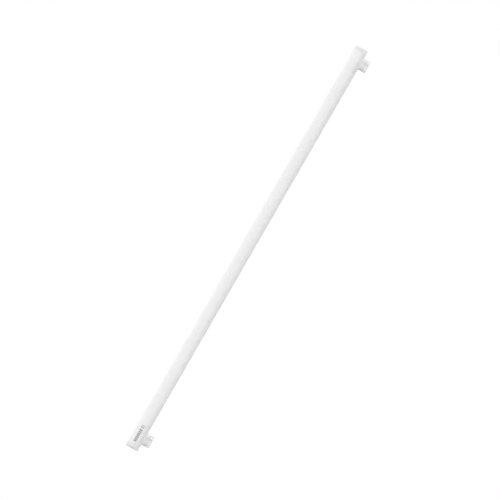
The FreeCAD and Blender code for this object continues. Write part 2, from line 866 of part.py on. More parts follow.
def make_film_capacitor():
    body = on_board("film_capacitor")
    outline = new_sketch(body, "case_outline", "XY_Plane")
    draw_box(outline, -(size.film_length / 2), size.film_length / 2,
             -(size.film_width / 2), size.film_width / 2)
    add_pad(body, "case", outline, size.film_height)
    soften(body, "case_edges", "Chamfer", size.film_chamfer, lambda point: (
        abs(abs(point.x) - size.film_length.value / 2) < 0.01
        and abs(abs(point.y) - size.film_width.value / 2) < 0.01))
    return body


def make_choke():
    """Wound drum on end: two flanges and a narrower winding between them."""
    body = on_board("line_choke")
    radius = size.choke_diameter / 2
    waist = radius - size.choke_waist
    top = size.choke_height
    profile = new_sketch(body, "drum_profile", "XZ_Plane")
    draw_path(profile, [
        (ZERO, ZERO),
        (radius, ZERO),
        (radius, size.choke_flange),
        (waist, size.choke_flange),
        (waist, top - size.choke_flange),
        (radius, top - size.choke_flange),
        (radius, top),
        (ZERO, top),
    ])
    turn = body.newObject("PartDesign::Revolution", "drum")
    turn.Profile = profile
    turn.ReferenceAxis = (profile, ["V_Axis"])
    turn.Angle = 360
    return body


def make_can(label):
    """Can capacitor lying along the board."""
    radius = size.can_diameter / 2
    body = new_body(label, x=driver_start + places[label] - size.can_length / 2,
                    z=radius - driver_top)
    section = new_sketch(body, "can_section", "YZ_Plane")
    draw_circle(section, radius)
    add_pad(body, "can", section, size.can_length)
    return body


def make_inductor_core():
    """Core with two windows, one each side of its middle leg."""
    body = on_board("inductor_core")
    profile = new_sketch(body, "core_profile", "XZ_Plane", -(size.core_depth / 2))
    half = size.core_length / 2
    draw_box(profile, -half, half, ZERO, size.core_height)
    for side in (1, -1):
        near = size.core_leg / 2 * side
        far = (half - size.core_wall) * side
        draw_box(profile, near, far, size.core_wall, size.core_height - size.core_wall)
    add_pad(body, "core", profile, size.core_depth)
    return body


def make_winding():
    """Wire wound round the core's middle leg and bulging out of both its windows."""
    body = on_board("inductor_winding", place="inductor_core")
    bottom = size.core_wall + size.fit_gap
    outline = new_sketch(body, "winding_outline", "XY_Plane", bottom)
    outside = size.core_length / 2 - size.core_wall - size.fit_gap
    bulge = size.core_depth / 2 + size.winding_bulge
    inside = size.core_leg / 2 + size.fit_gap
    through = size.core_depth / 2 + size.fit_gap
    draw_box(outline, -outside, outside, -bulge, bulge)
    draw_box(outline, -inside, inside, -through, through)
    add_pad(body, "winding", outline, size.core_height - bottom * 2)
    return body


def make_small_parts():
    """Row of small surface resistors and capacitors."""
    body = on_board("chip_resistors", size.small_inset - driver_half, "controller_chip")
    outline = new_sketch(body, "small_outline", "XY_Plane")
    for number in range(4):
        start = size.small_pitch * number - small_row / 2
        draw_box(outline, start, start + size.small_length, ZERO, size.small_width)
    add_pad(body, "small", outline, size.small_height)
    return body


left_edge = driver_start + peg_place
right_edge = peg_place - driver_start - driver_length

parts = [
    make_cover(),
    make_rail(),
    make_cap("end_cap_left", False),
    make_cap("end_cap_right", True),
    make_cup("contact_cup_left", False),
    make_cup("contact_cup_right", True),
    make_tag("solder_tag_left", False),
    make_tag("solder_tag_right", True),
    make_spreader(),
    make_light_board("light_board_left", -1),
    make_light_board("light_board_right", 1),
    make_chips("light_chips_left", -1),
    make_chips("light_chips_right", 1),
    make_board_links(),
    make_tray(),
    make_driver_board(),
    make_resistor(),
    make_varistor(),
    make_packed_chip("bridge_rectifier", ZERO, size.rectifier_length,
                     size.rectifier_width, size.rectifier_height, 2, size.rectifier_pitch),
    make_film_capacitor(),
    make_choke(),
    make_can("bulk_capacitor"),
    make_packed_chip("controller_chip", size.controller_side, size.controller_length,
                     size.controller_width, size.controller_height, 4, size.controller_pitch),
    make_packed_chip("freewheel_diode", ZERO, size.diode_length,
                     size.diode_width, size.diode_height, 1, ZERO),
    make_inductor_core(),
    make_winding(),
    make_can("output_capacitor"),
    make_small_parts(),
    make_output_lead("output_lead_plus", 1),
    make_output_lead("output_lead_minus", -1),
    make_lead("mains_lead_left", False, left_edge),
    make_lead("mains_lead_right", True, right_edge),
]
doc.recompute()

for item in doc.Objects:
    for trouble in ("Invalid", "Error"):
        if trouble in item.State:
            raise RuntimeError(f"{item.Label} is {trouble}")
for part in parts:
    if part.Shape.isNull() or not part.Shape.isValid():
        raise RuntimeError(f"{part.Label} has no sound shape")

os.makedirs("parts", exist_ok=True)
for part in parts:
    part.Shape.exportStep(f"parts/{part.Label}.step")
    box = part.Shape.optimalBoundingBox()
    print(f"{part.Label:22s} {len(part.Shape.Solids):3d} solids {part.Shape.Volume:10.1f} mm3",
          f"x {box.XMin:8.2f} {box.XMax:8.2f} y {box.YMin:7.2f} {box.YMax:7.2f}",
          f"z {box.ZMin:6.2f} {box.ZMax:6.2f}")
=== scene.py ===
"""Finished surfaces, materials, stage and camera of a linear lamp that stands on two side pegs."""

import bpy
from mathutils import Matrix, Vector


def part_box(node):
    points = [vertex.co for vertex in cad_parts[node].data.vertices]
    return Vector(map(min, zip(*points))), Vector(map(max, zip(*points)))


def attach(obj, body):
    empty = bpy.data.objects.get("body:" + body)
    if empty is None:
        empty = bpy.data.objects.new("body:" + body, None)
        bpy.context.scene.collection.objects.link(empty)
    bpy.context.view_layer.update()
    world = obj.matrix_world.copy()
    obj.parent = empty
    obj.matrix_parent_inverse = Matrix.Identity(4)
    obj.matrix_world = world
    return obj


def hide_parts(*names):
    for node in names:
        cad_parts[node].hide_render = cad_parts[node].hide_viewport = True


bl_info = {
    "name": "Linear lamp with side pegs",
    "version": (1, 0, 0),
    "blender": (4, 5, 0),
    "location": "3D View > Sidebar > Lamp",
    "description": "Builds the finished surfaces, materials, stage and camera of a linear lamp",
    "category": "Add Mesh",
}

import math

import bmesh
import bpy
import numpy as np
from mathutils import Matrix, Vector

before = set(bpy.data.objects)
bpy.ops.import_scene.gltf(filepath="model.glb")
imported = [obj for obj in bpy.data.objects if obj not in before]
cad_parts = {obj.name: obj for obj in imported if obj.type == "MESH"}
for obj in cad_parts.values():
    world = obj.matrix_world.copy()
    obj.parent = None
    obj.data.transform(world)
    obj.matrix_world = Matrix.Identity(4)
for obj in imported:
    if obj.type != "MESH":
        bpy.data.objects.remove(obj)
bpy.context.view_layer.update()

MM = 0.001

# Places and sizes read from the frame, in metres
CAP_LOW, CAP_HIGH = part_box("end_cap_left")
COVER_LOW, COVER_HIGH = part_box("cover")
RAIL_LOW, RAIL_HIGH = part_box("rail")
CUP_LOW, CUP_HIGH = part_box("contact_cup_left")
TUBE_RADIUS = (CAP_HIGH.y - CAP_LOW.y) / 2
AXIS_HEIGHT = CAP_HIGH.z - TUBE_RADIUS
PEG_LENGTH = CUP_HIGH.x - CUP_LOW.x
PEG_WIDTH = CUP_HIGH.y - CUP_LOW.y
PEG_PLACE = (CUP_LOW.x + CUP_HIGH.x) / 2
PEG_STRAIGHT = (PEG_LENGTH - PEG_WIDTH) / 2
CUP_TOP = CUP_HIGH.z

# How finely the surfaces are divided
SMOOTH_ANGLE = math.radians(32)
ARC_STEP = 0.45 * MM
CORNER_STEPS = 4
LENGTH_STEPS = 60
BAR_STEPS = 240
BORE_STEPS = 120
PEG_STEPS = 28
FILLET_STEPS = 10
INK_ROWS = 13

# Small forms and allowances of the outer pieces
GREATEST_ROUND = 0.42  # share of an edge that one rounded corner may take
SAME_REACH = 1e-7  # corners whose distances from the axis differ by less lie on one arc
MERGE_REACH = 1e-6  # points nearer than this become one
TINY = 1e-12  # keeps a direction without length from dividing by zero
EXTRUSION_ROUND = 0.12 * MM  # at the cut ends of the cover and the rail
SEAM_ROUND = 0.15 * MM  # where an end cap meets the rail
BEAD_PLACE = math.radians(4)  # from the seam to the middle of the bead and of its groove
BEAD_HALF = math.radians(1)
GROOVE_HALF = math.radians(1.5)
SPIGOT_WALL = 1.2 * MM
BORE_BELOW = 1 * MM  # how far the peg's bore is cut past the contact plane
BORE_SHARE = 0.6  # the peg's bore ends at this share of the tube's radius below its axis
CUT_OVERLAP = 0.05 * MM
ROOM_BEYOND = 3 * MM  # how far a cut reaches past the piece
FOOT_SUNK = 0.06 * MM  # the peg's foot under the tube's surface, so that the two join
LID_DEPTH = 0.7 * MM  # the peg's upper end inside the tube's wall
LID_SHARE = 0.4  # radius of that end, as a share of the peg's
HAIR = 0.02 * MM  # between two lines of the square, so that each stays a closed body
SQUARE_SPACE = 0.45  # extra room before the square, as a share of the bars' pitch

# Patterns, stage and camera
NOISE_LOW, NOISE_HIGH = 0.3, 0.7  # most of the noise lies between these
FLOOR_RETURN = 0.93  # share of its colour in the light that the floor throws back
FLOOR_REACH = 6.0
FLOOR_DEPTH = 0.02 * MM
KEY_SPREAD = math.radians(50)
PICTURE_SIDE = 500
PICTURE_SHIFT = (3.14, -1.75)  # pixels from the lamp's middle to the picture's, right and up
CAMERA_DISTANCE = 3.0
CAMERA_REACH = 20


def linear(code):
    """Turn an sRGB hex colour into linear red, green, blue and a full alpha."""
    parts = np.array([int(code[place:place + 2], 16) for place in (1, 3, 5)]) / 255
    turned = np.where(parts <= 0.04045, parts / 12.92, ((parts + 0.055) / 1.055) ** 2.4)
    return (*turned.tolist(), 1.0)


def length_property(name, description, millimetres):
    return bpy.props.FloatProperty(name=name, description=description,
                                   default=millimetres * MM, min=0, unit="LENGTH", precision=5)


def colour_property(name, description, code):
    return bpy.props.FloatVectorProperty(name=name, description=description, size=4,
                                         default=linear(code), min=0, max=1, subtype="COLOR")


class LampSizes(bpy.types.PropertyGroup):
    """Sizes of the outer pieces that the frame's boxes don't give."""

    cover_wall: length_property("Cover wall", "Thickness of the opal cover", 1.0)
    rail_wall: length_property("Rail wall", "Thickness of the rail's floor", 1.4)
    seam_angle: bpy.props.FloatProperty(
        name="Seam angle", description="From straight down to the seam of cover and rail",
        default=math.radians(62.0), min=0, max=math.pi, subtype="ANGLE")
    rib_angle: bpy.props.FloatProperty(
        name="Rib angle", description="Height of the rail's rib inside the cover",
        default=math.radians(8.0), min=0, max=math.pi / 2, subtype="ANGLE")
    clearance: length_property("Clearance", "Gap between pieces that clip together", 0.2)
    bead_depth: length_property("Bead", "Depth of the bead that holds the cover", 0.5)
    edge_round: length_property("Edge", "Radius on the long edges of the extrusions", 0.18)
    runner_level: length_property("Runner", "Tube's axis down to the runner's floor", 8.007)
    runner_width: length_property("Runner width", "Width of the floor of a runner", 2.2)
    runner_wall: length_property("Runner wall", "Wall outside a runner", 1.1)
    runner_floor: length_property("Runner floor", "Thickness of the floor of a runner", 1.0)
    jaw_inside: length_property("Jaw", "Tube's axis out to the rib's inner side", 9.744)
    jaw_height: length_property("Jaw height", "Height of the slot that a foot slides in", 1.2)


class CapSizes(bpy.types.PropertyGroup):
    """Sizes of the moulded end caps and of their pegs and metal cups."""

    collar_length: length_property("Collar", "Length of the full ring at the lamp's end", 9.0)
    end_wall: length_property("End wall", "Thickness of the flat end", 2.0)
    end_round: length_property("End edge", "Radius round the flat end", 1.0)
    seam_gap: length_property("Seam gap", "Gap between an end cap and the rail", 0.2)
    saddle: length_property("Saddle", "Reach of the fillet where the peg meets the tube", 2.2)
    shoulder: length_property("Shoulder", "Tube's axis down to the peg's shoulder", 23.8)
    shoulder_round: length_property("Shoulder edge", "Radius round the shoulder", 0.6)
    peg_wall: length_property("Peg wall", "Thickness of the hollow peg", 1.6)
    nose_inset: length_property("Nose inset", "Side of the peg in to the side of its nose", 0.6)
    cup_wall: length_property("Cup wall", "Thickness of the metal cup", 0.5)
    cup_round: length_property("Cup edge", "Radius round the cup's flat end", 1.0)
    notch_width: length_property("Notch width", "Width of the notch along the lamp", 4.0)
    notch_offset: length_property("Notch offset", "Peg's middle to the notch's middle", 3.5)
    notch_top: length_property("Notch top", "Notch's upper edge above the contact plane", 9.9)
    notch_bottom: length_property("Notch foot", "Notch's lower edge above the contact plane", 2.3)
    notch_depth: length_property("Notch depth", "Peg's side in to the notch's floor", 1.0)


class PrintSizes(bpy.types.PropertyGroup):
    """Plain printed bars on the front of the cover."""

    start: length_property("Start", "Lamp's end to the first bar", 14.5)
    bars: bpy.props.IntProperty(name="Bars", description="Number of upright bars", default=7, min=1)
    bar_width: length_property("Bar width", "Width of a bar along the lamp", 3.3)
    bar_pitch: length_property("Bar pitch", "From one bar to the next", 4.35)
    low: length_property("Below", "Bars' lower edge below the tube's axis", 1.7)
    high: length_property("Above", "Bars' upper edge above the tube's axis", 5.0)
    frame_width: length_property("Square", "Side of the plain square outline", 6.4)
    line: length_property("Line", "Width of the square's line", 1.5)
    thickness: length_property("Ink", "Thickness of the ink over the cover", 0.04)


class LampColours(bpy.types.PropertyGroup):
    """Colours of the outer pieces and the stage."""

    cover: colour_property("Cover", "Opal polycarbonate", "#F3F3F3")
    rail: colour_property("Rail", "White extruded polycarbonate", "#EFEFEF")
    cap: colour_property("End cap", "White moulded polycarbonate", "#E9E9E9")
    ink: colour_property("Ink", "Grey pad-printing ink", "#A4A4A4")
    nickel: colour_property("Contact", "Satin nickel plate", "#EDEDED")
    floor: colour_property("Floor", "Pale floor as the camera sees it", "#FDFDFD")


class StageSettings(bpy.types.PropertyGroup):
    """Light and camera."""

    room_level: bpy.props.FloatProperty(
        name="Room", description="Strength of the room's light before its slope is added",
        default=0.76, min=0)
    room_slope: bpy.props.FloatVectorProperty(
        name="Room slope", description="How much the room's light grows along X, Y and Z",
        default=(1.03, 0.15, 0.76))
    room_limit: bpy.props.FloatProperty(
        name="Room limit", description="Greatest strength of the room's light", default=1.2, min=0)
    key_light: bpy.props.FloatProperty(
        name="Key light", description="Strength of the soft lamp on the right", default=0.46, min=0)
    key_direction: bpy.props.FloatVectorProperty(
        name="Key direction", description="Where the key light comes from",
        default=(0.7, -0.7, 0.1), subtype="DIRECTION")
    azimuth: bpy.props.FloatProperty(
        name="Azimuth", description="How far the camera stands round the lamp",
        default=math.radians(-5.0), subtype="ANGLE")
    lean: bpy.props.FloatProperty(
        name="Lean", description="Angle of the lamp in the picture",
        default=math.radians(60.0146), subtype="ANGLE")
    view_width: bpy.props.FloatProperty(
        name="View width", description="Width that the camera takes in",
        default=1.0812, min=0, unit="LENGTH")


# Meshes

def grid_faces(rows, columns):
    """Quads between neighbouring rows of a grid whose last column joins its first."""
    row = np.arange(rows - 1)[:, None]
    column = np.arange(columns)[None, :]
    after = (column + 1) % columns
    corners = [row * columns + column, row * columns + after,
               (row + 1) * columns + after, (row + 1) * columns + column]
    quads = np.stack([np.broadcast_to(c, (rows - 1, columns)) for c in corners], axis=-1)
    return quads.reshape(-1, 4).tolist()


def capped_rows(points):
    """Close a tube given as rows of points with one flat face at each end."""
    rows, columns = points.shape[:2]
    faces = grid_faces(rows, columns)
    faces.append(list(range(columns))[::-1])
    faces.append(list(range((rows - 1) * columns, rows * columns)))
    return points.reshape(-1, 3), faces


def make_mesh(name, points, faces):
    mesh = bpy.data.meshes.new(name)
    mesh.from_pydata(points.tolist(), [], faces)
    mesh.validate()
    work = bmesh.new()
    work.from_mesh(mesh)
    bmesh.ops.recalc_face_normals(work, faces=work.faces)
    work.to_mesh(mesh)
    work.free()
    return mesh


def make_object(name, points, faces):
    piece = bpy.data.objects.new(name, make_mesh(name, points, faces))
    bpy.context.scene.collection.objects.link(piece)
    return piece


def finish_piece(piece, material, slot, *nodes):
    """Shade a piece, give it its material, hang it under the root and hide the frame's nodes that
    it replaces.
    """
    mesh = piece.data
    mesh.shade_smooth()
    mesh.set_sharp_from_angle(angle=SMOOTH_ANGLE)
    mesh.materials.clear()
    mesh.materials.append(material)
    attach(piece, "root")
    if nodes:
        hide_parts(*nodes)


def polar(radius, angle):
    """Point of the cross-section, across and up from the axis, by its angle from straight down."""
    return (radius * math.sin(angle), -radius * math.cos(angle))


def bend(t, start, corner, end):
    """Points of the quadratic curve (1-t)^2 start + 2t(1-t) corner + t^2 end."""
    return (1 - t) ** 2 * start + 2 * t * (1 - t) * corner + t ** 2 * end


def rounded_outline(corners, rounds):
    """Closed outline through corners. An edge whose ends lie equally far from the axis is an arc
    about it and any other edge is straight. Each corner is cut back by its own length on both
    edges and bridged by a quadratic curve about the corner."""
    corners = np.asarray(corners, float)
    following = np.roll(corners, -1, axis=0)
    reach = np.hypot(*corners.T)
    reach_next = np.hypot(*following.T)
    angle = np.arctan2(corners[:, 1], corners[:, 0])
    turn = np.arctan2(following[:, 1], following[:, 0]) - angle
    turn = (turn + math.pi) % (2 * math.pi) - math.pi
    is_arc = np.abs(reach - reach_next) < SAME_REACH
    lengths = np.where(is_arc, np.abs(turn) * reach, np.hypot(*(following - corners).T))
    rounds = np.minimum(np.broadcast_to(rounds, len(corners)),
                        GREATEST_ROUND * np.minimum(lengths, np.roll(lengths, 1)))

    def along(edge, share):
        if is_arc[edge]:
            here = angle[edge] + turn[edge] * share
            return reach[edge] * np.stack([np.cos(here), np.sin(here)], axis=-1)
        return corners[edge] + (following[edge] - corners[edge]) * np.asarray(share)[..., None]

    pieces = []
    bridge = np.linspace(0, 1, CORNER_STEPS + 1)[1:-1, None]
    for edge in range(len(corners)):
        before = edge - 1
        last = (edge + 1) % len(corners)
        cut_start = rounds[edge] / lengths[edge]
        cut_end = rounds[last] / lengths[edge]
        if rounds[edge] > 0:
            a = along(before, np.array([1 - rounds[edge] / lengths[before]]))
            b = along(edge, np.array([cut_start]))
            pieces.append(bend(bridge, a, corners[edge], b))
        count = max(1, math.ceil(lengths[edge] / ARC_STEP)) if is_arc[edge] else 1
        share = np.linspace(cut_start, 1 - cut_end, count + 1)
        if rounds[last] == 0:
            share = share[:-1]
        pieces.append(along(edge, share))
    return np.concatenate(pieces)


def inward(outline):
    """Unit vectors square to a closed outline that point to its inside."""
    along = np.roll(outline, -1, axis=0) - np.roll(outline, 1, axis=0)
    along /= np.linalg.norm(along, axis=1, keepdims=True) + TINY
    following = np.roll(outline, -1, axis=0)
    area = np.sum(outline[:, 0] * following[:, 1] - following[:, 0] * outline[:, 1])
    return np.stack([-along[:, 1], along[:, 0]], axis=-1) * np.sign(area)


def extrude(outline, start, end):
    """Carry a cross-section along X. Within a round's length r of each end it is drawn in along
    its own normals by a quarter round, r (1 - sin a) at r (1 - cos a) from the end."""
    edge = EXTRUSION_ROUND
    turn = np.linspace(0, math.pi / 2, CORNER_STEPS + 1)
    near = edge * (1 - np.cos(turn))
    drawn = edge * (1 - np.sin(turn))
    middle = np.linspace(start + edge, end - edge, LENGTH_STEPS + 1)[1:-1]
    places = np.concatenate([start + near, middle, (end - near)[::-1]])
    inset = np.concatenate([drawn, np.zeros(len(middle)), drawn[::-1]])
    section = outline[None] + inward(outline)[None] * inset[:, None, None]
    points = np.empty((len(places), len(outline), 3))
    points[..., 0] = places[:, None]
    points[..., 1] = section[..., 0]
    points[..., 2] = section[..., 1] + AXIS_HEIGHT
    return capped_rows(points)


def both_sides(corners):
    """Corners of the right side, then the same ones mirrored in the opposite order."""
    right = [tuple(corner) for corner in corners]
    left = [(-across, up) for across, up in reversed(right)]
    return right + left


def cover_outline(sizes):
    """Most of a ring, open below, with a bead inside each edge."""
    bore = TUBE_RADIUS - sizes.cover_wall
    seam = sizes.seam_angle
    middle = seam + BEAD_PLACE
    bead = bore - sizes.bead_depth
    corners = both_sides([
        (0, TUBE_RADIUS),
        polar(TUBE_RADIUS, seam),
        polar(bore, seam),
        polar(bore, middle - BEAD_HALF),
        polar(bead, middle - BEAD_HALF / 2),
        polar(bead, middle + BEAD_HALF / 2),
        polar(bore, middle + BEAD_HALF),
        (0, bore),
    ])
    on_middle = [0, len(corners) // 2 - 1]
    mirrored = [len(corners) // 2, len(corners) - 1]
    keep = [n for n in range(len(corners)) if n not in mirrored]
    rounds = np.full(len(corners), sizes.edge_round)
    rounds[on_middle] = 0
    return rounded_outline([corners[n] for n in keep], rounds[keep])


def rail_side(sizes):
    """Corners of the rail's right side, from its seam with the cover round to its floor."""
    seam = sizes.seam_angle
    rib = TUBE_RADIUS - sizes.cover_wall - sizes.clearance
    groove = rib - sizes.bead_depth
    middle = seam + BEAD_PLACE
    bore = TUBE_RADIUS - sizes.rail_wall
    level = sizes.runner_level
    reach = math.sqrt((TUBE_RADIUS - sizes.runner_wall) ** 2 - level ** 2)
    floor = level + sizes.runner_floor
    rib_top = rib * math.cos(seam + sizes.rib_angle)
    jaw = level - sizes.jaw_height
    return [
        polar(TUBE_RADIUS, seam),
        polar(rib, seam),
        polar(rib, middle - GROOVE_HALF),
        polar(groove, middle - GROOVE_HALF),
        polar(groove, middle + GROOVE_HALF),
        polar(rib, middle + GROOVE_HALF),
        polar(rib, seam + sizes.rib_angle),
        (sizes.jaw_inside, -rib_top),
        (sizes.jaw_inside, -jaw),
        (reach, -jaw),
        (reach, -level),
        (reach - sizes.runner_width, -level),
        (reach - sizes.runner_width, -floor),
        (math.sqrt(bore ** 2 - floor ** 2), -floor),
    ]


def rail_outline(sizes):
    corners = both_sides(rail_side(sizes))
    return rounded_outline(corners, sizes.edge_round)


def stadium(radii):
    """Outline of the peg for each radius: two half circles joined by straight sides,
    anticlockwise, with its own outward direction at each point. The straight sides have points
    at even steps too."""
    half = np.linspace(-math.pi / 2, math.pi / 2, PEG_STEPS + 1)
    side = np.linspace(PEG_STRAIGHT, -PEG_STRAIGHT, PEG_STEPS // 2 + 1)[1:-1]
    turn = np.concatenate([half, np.full(len(side), math.pi / 2), half + math.pi,
                           np.full(len(side), -math.pi / 2)])
    middle = np.concatenate([np.full(len(half), PEG_STRAIGHT), side,
                             np.full(len(half), -PEG_STRAIGHT), -side])
    outward = np.stack([np.cos(turn), np.sin(turn)], axis=-1)
    centres = np.stack([middle, np.zeros(len(middle))], axis=-1)
    return centres + outward * np.reshape(radii, (-1, 1, 1)), outward


def stadium_rows(radii, heights):
    """Rows of stadium outlines about the peg, one for each pair of radius and height."""
    plan, _ = stadium(np.asarray(radii))
    points = np.empty(plan.shape[:2] + (3,))
    points[..., 0] = plan[..., 0] + PEG_PLACE
    points[..., 1] = plan[..., 1]
    points[..., 2] = np.asarray(heights)[:, None]
    return points


def quarter(start, corner, end, steps=CORNER_STEPS + 2):
    """Points of a quadratic curve from start to end that leaves and arrives along the corner."""
    t = np.linspace(0, 1, steps + 1)[:, None]
    return bend(t, *(np.asarray(point, float) for point in (start, corner, end)))


def peg_solid(cap):
    """Peg that grows out of the tube. Its rows are a closed lid in the tube's wall, a foot on the
    tube, a fillet, the upright side, the rounded shoulder and the nose. The fillet leaves the
    tube along its surface: from the foot, w out from the side, its middle control point is where
    the tube's tangent meets the side, and its end is w below that."""
    radius = PEG_WIDTH / 2
    reach = cap.saddle

    def on_tube(plan, depth):
        return AXIS_HEIGHT - np.sqrt((TUBE_RADIUS - depth) ** 2 - plan[..., 1] ** 2)

    outline, outward = stadium(np.array([radius * LID_SHARE, radius + reach,
                                         radius + reach, radius]))
    lid, lid_edge, foot, side = outline
    foot_height = on_tube(foot, FOOT_SUNK)
    slope = foot[:, 1] * outward[:, 1] / np.sqrt(TUBE_RADIUS ** 2 - foot[:, 1] ** 2)
    corner_height = foot_height - slope * reach - FOOT_SUNK
    t = np.linspace(0, 1, FILLET_STEPS + 1)[:, None, None]
    start = np.column_stack([foot, foot_height])
    corner = np.column_stack([side, corner_height])
    end = np.column_stack([side, corner_height - reach])
    fillet = bend(t, start, corner, end)
    top = np.stack([np.column_stack([lid, on_tube(lid, LID_DEPTH)]),
                    np.column_stack([lid_edge, on_tube(lid_edge, LID_DEPTH)])])
    fillet[..., 0] += PEG_PLACE
    top[..., 0] += PEG_PLACE

    shoulder = AXIS_HEIGHT - cap.shoulder
    nose = radius - cap.nose_inset
    edge = cap.shoulder_round
    turned = quarter((radius, shoulder + edge), (radius, shoulder), (radius - edge, shoulder))
    tip = quarter((nose, cap.cup_wall + edge), (nose, cap.cup_wall), (nose - edge, cap.cup_wall))
    profile = np.concatenate([turned, [(nose, shoulder)], tip])
    lower = stadium_rows(profile[:, 0], profile[:, 1])
    return capped_rows(np.concatenate([top, fillet, lower]))


def box_solid(low, high):
    """Box between two corners, as four points carried up by two rows."""
    across = np.array([[low[0], low[1]], [high[0], low[1]], [high[0], high[1]], [low[0], high[1]]])
    points = np.empty((2, 4, 3))
    points[..., :2] = across[None]
    points[0, :, 2] = low[2]
    points[1, :, 2] = high[2]
    return capped_rows(points)


def notch_boxes(cap):
    """The two notches, one in each long side of the peg, half a turn apart."""
    boxes = []
    for side in (1, -1):
        middle = PEG_PLACE + cap.notch_offset * side
        across = sorted((-side * PEG_WIDTH, -side * (PEG_WIDTH / 2 - cap.notch_depth)))
        boxes.append(box_solid(
            (middle - cap.notch_width / 2, across[0], cap.notch_bottom),
            (middle + cap.notch_width / 2, across[1], cap.notch_top)))
    return boxes


def combine(name, first, steps):
    """Join or cut solids one after another, each step an operation and a solid."""
    piece = make_object(name, *first)
    tools = []
    for operation, solid in steps:
        tool = make_object(f"{name}_tool_{len(tools)}", *solid)
        tools.append(tool)
        modifier = piece.modifiers.new(operation.lower(), "BOOLEAN")
        modifier.operation = operation
        modifier.object = tool
        modifier.solver = "EXACT"
    graph = bpy.context.evaluated_depsgraph_get()
    graph.update()
    mesh = bpy.data.meshes.new_from_object(piece.evaluated_get(graph))
    piece.modifiers.clear()
    piece.data = mesh
    mesh.name = name
    for tool in tools:
        bpy.data.objects.remove(tool)
    work = bmesh.new()
    work.from_mesh(mesh)
    bmesh.ops.remove_doubles(work, verts=work.verts, dist=MERGE_REACH)
    bmesh.ops.dissolve_degenerate(work, edges=work.edges, dist=MERGE_REACH)
    work.to_mesh(mesh)
    work.free()
    return piece


def round_bar(places, radii, steps):
    """Solid turned about the tube's axis, with a ring of points at each place along X."""
    around = np.linspace(0, 2 * math.pi, steps, endpoint=False)
    radii = np.asarray(radii)[:, None]
    points = np.empty((len(radii), steps, 3))
    points[..., 0] = np.asarray(places)[:, None]
    points[..., 1] = radii * np.sin(around)
    points[..., 2] = AXIS_HEIGHT - radii * np.cos(around)
    return capped_rows(points)


def cap_bar(cap, seam):
    """Full round bar from the lamp's end to the cap's seam, rounded at the lamp's end."""
    edge = cap.end_round
    end = quarter((0, TUBE_RADIUS - edge), (0, TUBE_RADIUS), (edge, TUBE_RADIUS), steps=8)
    far = quarter((seam - SEAM_ROUND, TUBE_RADIUS), (seam, TUBE_RADIUS),
                  (seam, TUBE_RADIUS - SEAM_ROUND), steps=4)
    profile = np.concatenate([end, far])
    return round_bar(profile[:, 0] + CAP_LOW.x, profile[:, 1], BAR_STEPS)


def cover_room(sizes, cap):
    """What is cut from the bar above the trough: a wide arc over it, flared round edges at the
    seams, and the inner line of the rail's section."""
    edge = sizes.edge_round
    side = rail_side(sizes)
    flare = [(TUBE_RADIUS + ROOM_BEYOND, sizes.seam_angle - edge / TUBE_RADIUS)]
    for turn in np.linspace(math.pi / 2, 0, CORNER_STEPS + 1):
        flare.append((TUBE_RADIUS - edge + edge * math.sin(turn),
                      sizes.seam_angle - edge * (1 - math.cos(turn)) / TUBE_RADIUS))
    corners = [(0, TUBE_RADIUS + ROOM_BEYOND)] + [polar(*point) for point in flare] + side[1:]
    outline = rounded_outline(both_sides(corners)[:-1], 0)
    points = np.empty((2, len(outline), 3))
    points[0, :, 0] = CAP_LOW.x + cap.collar_length
    points[1, :, 0] = RAIL_LOW.x + ROOM_BEYOND
    points[..., 1] = outline[:, 0]
    points[..., 2] = outline[:, 1] + AXIS_HEIGHT
    return capped_rows(points)


def finish_pair(left, name, material, slot, node):
    """Add the right piece of a pair, which is the left one turned half round the lamp's upright
    middle, and finish both."""
    mesh = left.data.copy()
    mesh.transform(Matrix.Rotation(math.pi, 4, "Z"))
    right = bpy.data.objects.new(f"{name}_right", mesh)
    bpy.context.scene.collection.objects.link(right)
    finish_piece(left, material, slot, f"{node}_left")
    finish_piece(right, material, slot, f"{node}_right")


def ink_field(left, right, low, high, thickness):
    """Patch of ink on the front of the tube: rows go up the tube's round side, and each row is
    a rectangle through the ink, from just under the tube's surface to the ink's face."""
    heights = np.linspace(low, high, INK_ROWS)
    points = np.empty((len(heights), 4, 3))
    for column, (place, depth) in enumerate(((left, thickness), (right, thickness),
                                             (right, -thickness / 2), (left, -thickness / 2))):
        points[:, column, 0] = place
        points[:, column, 1] = -np.sqrt((TUBE_RADIUS + depth) ** 2 - heights ** 2)
        points[:, column, 2] = heights + AXIS_HEIGHT
    return capped_rows(points)


# Materials

def add_node(tree, kind, inputs=None, **settings):
    """Add one node. Inputs maps a socket to a constant or to another node's output."""
    node = tree.nodes.new(kind)
    for name, value in settings.items():
        setattr(node, name, value)
    for key, value in (inputs or {}).items():
        if isinstance(value, bpy.types.NodeSocket):
            tree.links.new(value, node.inputs[key])
        else:
            node.inputs[key].default_value = value
    return node


def new_material(name, colour, inputs):
    """Material with one shader. Inputs are constants on the shader's own sockets."""
    material = bpy.data.materials.new(name)
    material.use_nodes = True
    tree = material.node_tree
    tree.nodes.clear()
    shader = add_node(tree, "ShaderNodeBsdfPrincipled", {"Base Color": colour, **inputs})
    add_node(tree, "ShaderNodeOutputMaterial", {"Surface": shader.outputs["BSDF"]})
    return material, tree, shader


def speckle(tree, size_mm, stretch=(1, 1, 1), detail=2.0):
    """Noise on Object coordinates whose blobs are size_mm across, stretched per axis."""
    place = add_node(tree, "ShaderNodeTexCoord")
    scale = tuple(1 / (size_mm * MM * factor) for factor in stretch)
    mapped = add_node(tree, "ShaderNodeMapping",
                      {"Vector": place.outputs["Object"], "Scale": scale})
    noise = add_node(tree, "ShaderNodeTexNoise", {"Vector": mapped.outputs["Vector"],
                                                  "Scale": 1.0, "Detail": detail})
    return noise.outputs["Fac"]


